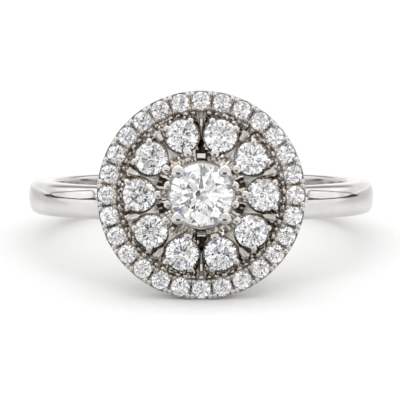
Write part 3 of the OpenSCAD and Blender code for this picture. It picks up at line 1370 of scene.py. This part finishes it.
@dataclass
class ClusterProngs:
    """Three beads on each cluster stone: two outside and a larger one inside."""

    row: StoneRow
    wire: float = 0.42
    foot: float = -0.6
    outer_d: float = 0.34
    outer_r: float = 0.95
    outer_angle: float = 47.0
    outer_top: float = 0.29
    inner_d: float = 0.5
    inner_r: float = 1.03
    inner_top: float = 0.36
    sides: int = 24
    sharp: float = 34.0

    def build(self) -> list[Blank]:
        """Builds the prongs as one joined mesh.

        Returns:
            Their blank.
        """
        mesh = Mesh()
        outer = Claw(self.outer_d * self.wire, self.outer_d / 2, self.foot, self.outer_top)
        inner = Claw(self.inner_d * self.wire, self.inner_d / 2, self.foot, self.inner_top)
        for spot in self.row.places():
            for side in (-1, 1):
                outer.add(mesh, self.sides, spot @ turned(side * self.outer_angle, self.outer_r))
            inner.add(mesh, self.sides, spot @ turned(180, self.inner_r))
        return [Blank("cluster_prongs", mesh, self.sharp, fitted=True)]


@dataclass
class CentreSetting:
    """Seat ring, collar, four prongs, four side beads and two blocks round the centre stone.

    The sections' points are (way out from the ring's radius, height from its level).
    """

    row: StoneRow
    foot: float = 11.3
    seat_r: float = 1.94
    seat_section: tuple[Pair, ...] = ((-0.45, 0.0), (0.0, 0.0), (0.0, 0.46), (-0.04, 0.5), (-0.41, 0.5),
                                      (-0.45, 0.46))
    collar_r: float = 1.825
    collar_drop: float = 0.2
    collar_section: tuple[Pair, ...] = ((-0.24, -0.2), (-0.06, -0.2), (-0.01, -0.15), (0.0, -0.06),
                                        (-0.02, 0.0), (-0.07, 0.02), (-0.15, -0.03))
    ring_steps: int = 96
    block_angles: Pair = (90.0, 270.0)
    block_r: Pair = (2.05, 2.31)
    block_w: float = 0.5
    block_top: float = 12.5
    block_h: float = 1.2
    block_lean: float = 0.08
    bevel: float = 0.025
    block_sharp: float = 30.0
    side_r: float = 1.94
    side_d: float = 0.46
    side_wire: float = 0.46
    side_rise: float = 0.08
    side_angle: float = 15.6
    side_sides: int = 20
    prong_r: float = 1.845
    prong_d: float = 0.52
    bead_d: float = 0.69
    rise: float = 0.5
    prong_angles: tuple[float, ...] = (45.0, 135.0, 225.0, 315.0)
    sides: int = 32
    sharp: float = 34.0

    def rings(self) -> Mesh:
        """Models the low seat ring and the collar just under the girdle.

        Returns:
            Their mesh.
        """
        mesh = Mesh()
        for r, level, section in ((self.seat_r, self.foot, self.seat_section),
                                  (self.collar_r, self.row.level - self.collar_drop, self.collar_section)):
            mesh.lathe([(r + out, level + rise) for out, rise in section], self.ring_steps)
        return mesh

    def blocks(self) -> Mesh:
        """Models the two small bevelled blocks outside the seat ring, whose tops lean the same way.

        Returns:
            Their mesh.
        """
        mesh = Mesh()
        inner, outer = self.block_r
        for angle, lean in zip(self.block_angles, (self.block_lean, -self.block_lean)):
            levels = ((0.0, self.block_h, 0.0), (0.0, self.bevel, lean), (self.bevel, 0.0, lean))
            rows = []
            for inset, drop, fall in levels:
                near, far = self.block_top - drop + fall / 2, self.block_top - drop - fall / 2
                half = self.block_w / 2 - inset
                rows.append([(inner + inset, -half, near), (outer - inset, -half, far),
                             (outer - inset, half, far), (inner + inset, half, near)])
            mesh.loft(rows, turned(angle))
        return mesh

    def build(self) -> list[Blank]:
        """Builds the rings, the blocks, the side beads and the prongs.

        Returns:
            Their blanks.
        """
        beads, prongs = Mesh(), Mesh()
        level = self.row.level
        bead = Claw(self.side_d * self.side_wire, self.side_d / 2, self.foot, level + self.side_rise)
        for angle in (self.side_angle, -self.side_angle, 180 - self.side_angle, 180 + self.side_angle):
            bead.add(beads, self.side_sides, turned(angle, self.side_r))
        prong = Claw(self.prong_d / 2, self.bead_d / 2, self.foot, level + self.rise)
        for angle in self.prong_angles:
            prong.add(prongs, self.sides, turned(angle, self.prong_r))
        return [Blank("centre_rings", self.rings(), self.sharp, (Metal.SOFT,), fitted=True),
                Blank("centre_blocks", self.blocks(), self.block_sharp, fitted=True),
                Blank("centre_beads", beads, self.sharp, fitted=True),
                Blank("centre_prongs", prongs, self.sharp, fitted=True)]


@dataclass
class Gallery:
    """The rail on the band and the struts up to the halo, which are wider at their ends.

    Places are (radius, height).
    """

    rail: Pair = (3.4, 9.7)
    rail_d: float = 0.8
    rail_sides: int = 20
    rail_steps: int = 96
    strut_top: Pair = (5.145, 11.2)
    strut_d: float = 0.58
    strut_waist: float = 0.86
    strut_flare: float = 0.32
    flare_bend: int = 3
    strut_steps: int = 8
    strut_sides: int = 16
    count: int = 10
    sharp: float = 50.0

    def build(self) -> list[Blank]:
        """Builds the rail and the struts as one mesh.

        Returns:
            Their blank.
        """
        mesh = Mesh()
        mesh.lathe(arc(self.rail, self.rail_d / 2, 0, 360, self.rail_sides)[:-1], self.rail_steps)
        (r0, z0), (r1, z1) = self.rail, self.strut_top
        path, radii = [], []
        for share in shares(self.strut_steps):
            path.append((between((r0, r1), share), 0.0, between((z0, z1), share)))
            flare = self.strut_flare * abs(2 * share - 1) ** self.flare_bend
            radii.append(self.strut_d / 2 * (self.strut_waist + flare))
        for i in range(self.count):
            mesh.tube(path, radii, self.strut_sides, turned(i * 360.0 / self.count))
        return [Blank("gallery", mesh, self.sharp)]


# The studio


@dataclass(frozen=True)
class Patch:
    """A soft-edged part of the dome, the same on the left and on the right, with a light of its own."""

    azimuth: Pair
    elevation: Pair
    light: Point
    soft: float

    def mask(self, tree: Tree, az: Socket, el: Socket) -> Socket:
        """Works out how much of the patch a direction sees, from 0 to 1.

        Args:
            tree: where the nodes are added.
            az: degrees away from the front.
            el: degrees above the horizon.

        Returns:
            The mask's socket.
        """
        half = self.soft / 2
        masks = []
        for way, (low, high) in ((az, self.azimuth), (el, self.elevation)):
            masks.append(tree.ramp(way, low - half, low + half))
            masks.append(tree.ramp(way, high - half, high + half, 1.0, 0.0))
        product = masks[0]
        for mask in masks[1:]:
            product = tree.math("MULTIPLY", product, mask)
        return product


@dataclass(frozen=True)
class Panels:
    """Small panels in front of the ring, each of one tone, which the stones break up into sparkle."""

    size: float
    tones: Tones
    share: float = 1.0
    azimuth: float = 80.0
    elevation: Pair = (6.0, 64.0)

    def paint(self, tree: Tree, az: Socket, el: Socket, colour: Value) -> Socket:
        """Lays the panels over the dome's colour.

        Args:
            tree: where the nodes are added.
            az: degrees to the right of the front, negative on the left.
            el: degrees above the horizon.
            colour: the dome's colour so far.

        Returns:
            The new colour's socket.
        """
        column, row = (tree.math("FLOOR", tree.math("DIVIDE", way, self.size)) for way in (az, el))
        chance = tree.chance(tree.add("ShaderNodeCombineXYZ", X=column, Y=row).outputs[0])
        low, high = self.elevation
        mask = tree.math("LESS_THAN", tree.math("ABSOLUTE", az), self.azimuth)
        tests = (("GREATER_THAN", el, low), ("LESS_THAN", el, high), ("LESS_THAN", chance, self.share))
        for test, value, end in tests:
            mask = tree.math("MULTIPLY", mask, tree.math(test, value, end))
        return tree.mix(mask, colour, tree.steps(chance, self.tones, self.share))


@dataclass(frozen=True)
class Card:
    """A strip of paper round the ring that only the metal and the stones mirror, in millimetres.

    Its corners stand in pairs, each pair across the strip.
    """

    name: str
    finish: Finish
    corners: tuple[Point, ...]
    both_sides: bool = False
    in_metal: bool = True
    through_stones: bool = True


def level_corners(x: Pair, y: Pair, height: float) -> tuple[Point, ...]:
    """Returns the corners of a level strip in pairs, from its ends to the sides and to the back."""
    return tuple((end, row, height) for row in y for end in x)


@dataclass
class Studio:
    """White paper with dark cards round it, and a dome of soft lights and dark gaps.

    Lengths are millimetres; the heart is (depth, height), and the front card's side and high are degrees.
    """

    strength: float = 1.03
    base: Point = (0.95, 0.95, 0.95)
    patches: tuple[Patch, ...] = (
        Patch((-9, 84), (22, 68), (1.45, 1.44, 1.43), soft=6),
        Patch((138, 189), (18, 80), (0.38, 0.365, 0.35), soft=14),
        Patch((84, 128), (12, 60), (1.3, 1.3, 1.3), soft=5),
        Patch((76, 107), (-5, 14), (1.15, 1.15, 1.15), soft=4),
        Patch((82, 189), (56, 99), (2.0, 2.0, 2.0), soft=6),
    )
    panels: tuple[Panels, ...] = (
        Panels(4.2, ((0.0, (0.20, 0.19, 0.18)), (0.13, (0.54, 0.53, 0.52)), (0.32, (0.90, 0.90, 0.90)),
                     (0.55, (1.38, 1.38, 1.37)))),
        Panels(2.0, ((0.0, (0.12, 0.115, 0.11)), (0.6, (0.20, 0.26, 0.38)), (0.82, (0.75, 0.62, 0.48))),
               share=0.12),
    )
    paper: StudioPaper = StudioPaper("studio_paper", (0.96, 0.96, 0.96))
    floor_half: float = 600.0
    black: StudioPaper = StudioPaper("black_paper", (0.06, 0.056, 0.052))
    heart: Pair = (-9.0, 6.0)
    front_side: float = 30.0
    front_high: float = 4.0
    front_y: Pair = (-23.0, -60.0)
    front_level: float = 0.1
    spotted_x: Pair = (-40.0, 40.0)
    spotted_level: float = 0.08
    low_x: Pair = (-15.0, 15.0)
    low_y: Pair = (-26.0, -12.0)
    low_level: float = 0.07
    # Painted shadow of the ring on the floor just in front of it, which only the metal mirrors.
    low_shadow_spots: tuple[Spot, ...] = (Spot((0.0, -15.0), (3.0, 15.0), 0.54),)
    shade_x: Pair = (-84.0, 84.0)
    shade_y: Pair = (-18.0, 62.0)
    shade_level: float = 0.05
    # Painted shadow of the ring on the floor round and under it, which the metal and the stones mirror.
    near_shadow_spot: Spot = Spot((0.0, 2.0), (9.0, 20.0), 0.88)
    side_spots: tuple[Spot, ...] = (
        Spot((66.0, 34.0), (2.0, 24.0), 0.3), Spot((46.0, 26.0), (2.0, 20.0), 0.62),
        Spot((33.0, 16.0), (8.0, 22.0), 0.72), Spot((19.0, 17.0), (4.0, 14.0), 0.87))
    side_cards: tuple[Card, ...] = (
        Card("low_line", StudioPaper("low_line_paper", (0.03, 0.03, 0.03)), (
            (51.7, 31.7, 0.1), (39.5, 21.4, 0.1), (59.4, 28.9, 3.5), (52.7, 23.1, 0.1), (63.2, 20.6, 3.5),
            (63.4, 19.7, 0.9), (65.9, 10.8, 5.2), (66.0, 10.3, 3.5), (66.9, 1.9, 7.2), (67.0, 1.3, 5.4),
            (66.7, -6.4, 9.2), (66.8, -6.9, 7.1), (65.4, -13.5, 12.5), (65.6, -14.5, 9.4),
            (63.6, -18.4, 16.5), (64.0, -20.4, 10.8)), both_sides=True),
        Card("high_line", StudioPaper("high_line_paper", (0.35, 0.35, 0.35)), (
            (60.7, 30.6, 4.8), (61.1, 30.0, 3.5), (63.1, 25.3, 9.0), (63.6, 24.4, 7.2), (65.3, 17.7, 13.4),
            (65.9, 16.8, 11.7), (65.3, 11.2, 20.7), (66.6, 9.1, 17.1), (60.2, 8.6, 33.3), (64.6, 2.2, 26.1),
            (51.5, 8.2, 44.9), (58.6, -2.7, 37.9)), both_sides=True),
        Card("side_line", StudioPaper("side_line_paper", (0.4, 0.4, 0.4)), (
            (54.9, 1.6, 40.9), (53.7, 0.9, 42.4), (63.7, -14.9, 22.9), (63.1, -16.5, 23.6),
            (65.0, -18.3, 14.8), (64.5, -19.9, 15.4)), both_sides=True),
    )
    max_bounces: int = 24
    transmission_bounces: int = 20
    glossy_bounces: int = 8

    def sheet(self, name: str, corners: Sequence[Point], finish: Material) -> Piece:
        """Adds a strip of paper to the studio.

        Args:
            name: its name.
            corners: its corners in millimetres, in pairs across the strip.
            finish: its material.

        Returns:
            The piece.
        """
        data = bpy.data.meshes.new(name)
        faces = [(i, i + 1, i + 3, i + 2) for i in range(0, len(corners) - 2, 2)]
        data.from_pydata([tuple(Vector(c) * MM) for c in corners], [], faces)
        data.materials.append(finish)
        piece = bpy.data.objects.new(name, data)
        bpy.context.scene.collection.objects.link(piece)
        return piece

    def floor(self) -> Piece:
        """Adds the paper that the ring lies on."""
        ends = (-self.floor_half, self.floor_half)
        return self.sheet("floor", level_corners(ends, ends, 0.0), self.paper.build())

    def front_card(self) -> Card:
        """Cuts the black card in front, which widens and rises with the way from the ring's heart.

        Returns:
            The card.
        """
        y, z = self.heart
        near, far = self.front_y
        wide, top = tan(radians(self.front_side)), z + (y - far) * tan(radians(self.front_high))
        rows = ((near, self.front_level), (far, self.front_level), (far, top))
        corners = tuple((side * (y - row) * wide, row, height) for row, height in rows for side in (-1, 1))
        return Card("front_card", self.black, corners, through_stones=False)

    def cards(self) -> list[Card]:
        """Lists the cards in front, at both sides and on the floor.

        Returns:
            The cards, in the order they are hung.
        """
        spots = (self.near_shadow_spot, *(spot.mirrored() for spot in self.side_spots), *self.side_spots)
        return [self.front_card(),
                Card("spotted_card", SpottedPaper("spotted_paper"),
                     level_corners(self.spotted_x, self.front_y, self.spotted_level), in_metal=False),
                Card("low_shade", FadingPaper("low_shade_paper", self.low_shadow_spots),
                     level_corners(self.low_x, self.low_y, self.low_level), through_stones=False),
                *self.side_cards,
                Card("floor_shade", FadingPaper("floor_shade_paper", spots),
                     level_corners(self.shade_x, self.shade_y, self.shade_level))]

    def hang(self, card: Card) -> None:
        """Adds a card, on both sides if it stands on both.

        Args:
            card: the card.
        """
        paper = card.finish.build()
        for side, mirror in (("left_", -1), ("right_", 1)) if card.both_sides else (("", 1),):
            piece = self.sheet(side + card.name, [(mirror * x, y, z) for x, y, z in card.corners], paper)
            piece.visible_glossy = card.in_metal
            piece.visible_transmission = card.through_stones
            piece.visible_camera = False
            piece.visible_diffuse = False
            piece.visible_shadow = False

    def dome(self) -> None:
        """Lights the scene with a dome that is drawn by direction alone."""
        world = bpy.data.worlds.new("studio")
        world.use_nodes = True
        bpy.context.scene.world = world
        tree = Tree(world.node_tree)
        way = tree.add("ShaderNodeTexCoord").outputs["Generated"]
        unit = tree.add("ShaderNodeVectorMath", {"operation": "NORMALIZE"}, i0=way).outputs[0]
        x, y, z = tree.add("ShaderNodeSeparateXYZ", Vector=unit).outputs
        el = tree.math("MULTIPLY", tree.math("ARCSINE", z), degrees(1.0))
        back = tree.math("MULTIPLY", y, -1.0)
        az = tree.math("MULTIPLY", tree.math("ARCTAN2", tree.math("ABSOLUTE", x), back), degrees(1.0))
        colour = (*self.base, 1.0)
        for patch in self.patches:
            colour = tree.mix(patch.mask(tree, az, el), colour, (*patch.light, 1.0))
        signed = tree.math("MULTIPLY", az, tree.math("SIGN", x))
        for panels in self.panels:
            colour = panels.paint(tree, signed, el, colour)
        background = tree.add("ShaderNodeBackground", Color=colour, Strength=self.strength)
        tree.add("ShaderNodeOutputWorld", Surface=background.outputs[0])

    def tone(self) -> None:
        """Sets a plain view transform and enough light bounces for cut stones."""
        scene = bpy.context.scene
        scene.view_settings.view_transform = "Standard"
        scene.view_settings.look = "None"
        scene.cycles.max_bounces = self.max_bounces
        scene.cycles.transmission_bounces = self.transmission_bounces
        scene.cycles.glossy_bounces = self.glossy_bounces

    def build(self) -> None:
        """Sets up the floor, the cards, the dome and the view."""
        self.floor()
        for card in self.cards():
            self.hang(card)
        self.dome()
        self.tone()


@dataclass(frozen=True)
class Shot:
    """How the picture is framed: pixels of a picture 400 wide, and the camera's sizes."""

    picture: float = 400.0
    halo_pixel: Pair = (201.3, 195.0)
    pixels_per_mm: float = 17.85
    elevation: float = 14.0
    distance: float = 0.25
    sensor: float = 36.0
    clip: Pair = (0.01, 10.0)

    def aim(self, face: Vector) -> Vector:
        """Works out the point in the middle of the picture.

        Args:
            face: the middle of the halo's face, in metres.

        Returns:
            The point in metres.
        """
        elevation = radians(self.elevation)
        up = Vector((0, sin(elevation), cos(elevation)))
        right = (self.picture / 2 - self.halo_pixel[0]) / self.pixels_per_mm
        rise = (self.halo_pixel[1] - self.picture / 2) / self.pixels_per_mm
        return face + (Vector((1, 0, 0)) * right + up * rise) * MM

    def camera(self, face: Vector) -> None:
        """Adds the camera.

        Args:
            face: the middle of the halo's face, in metres.
        """
        data = bpy.data.cameras.new("camera")
        data.sensor_width = self.sensor
        data.lens = self.sensor * self.distance / (self.picture / self.pixels_per_mm * MM)
        data.clip_start, data.clip_end = self.clip
        camera = bpy.data.objects.new("camera", data)
        elevation = radians(self.elevation)
        way = Vector((0, -cos(elevation), sin(elevation)))
        camera.location = self.aim(face) + way * self.distance
        camera.rotation_euler = way.to_track_quat("Z", "Y").to_euler()
        bpy.context.scene.collection.objects.link(camera)
        bpy.context.scene.camera = camera


def main() -> None:
    """Builds the ring's pieces and the studio in order."""
    logging.basicConfig(level=logging.INFO, format="%(name)s: %(message)s")
    stones = Stones()
    log.info("%d stones keep their solids", len(stones.dress()))
    bench = Bench(stones, Frames(stones), {metal: metal.value.build() for metal in Metal})
    halo = HaloFrame(stones.halo)
    parts = (Band(), halo, Beads(stones.halo), RecessFloor(), Cups(stones.cluster),
             Brackets(stones.cluster, halo), ClusterProngs(stones.cluster), CentreSetting(stones.centre),
             Gallery())
    for part in parts:
        for blank in part.build():
            piece = bench.finish(blank)
            log.info("%s: %d faces", piece.name, len(piece.data.polygons))
    Studio().build()
    Shot().camera(bench.frames.head @ Vector((0, 0, stones.halo.level)))


if __name__ == "__main__":
    main()
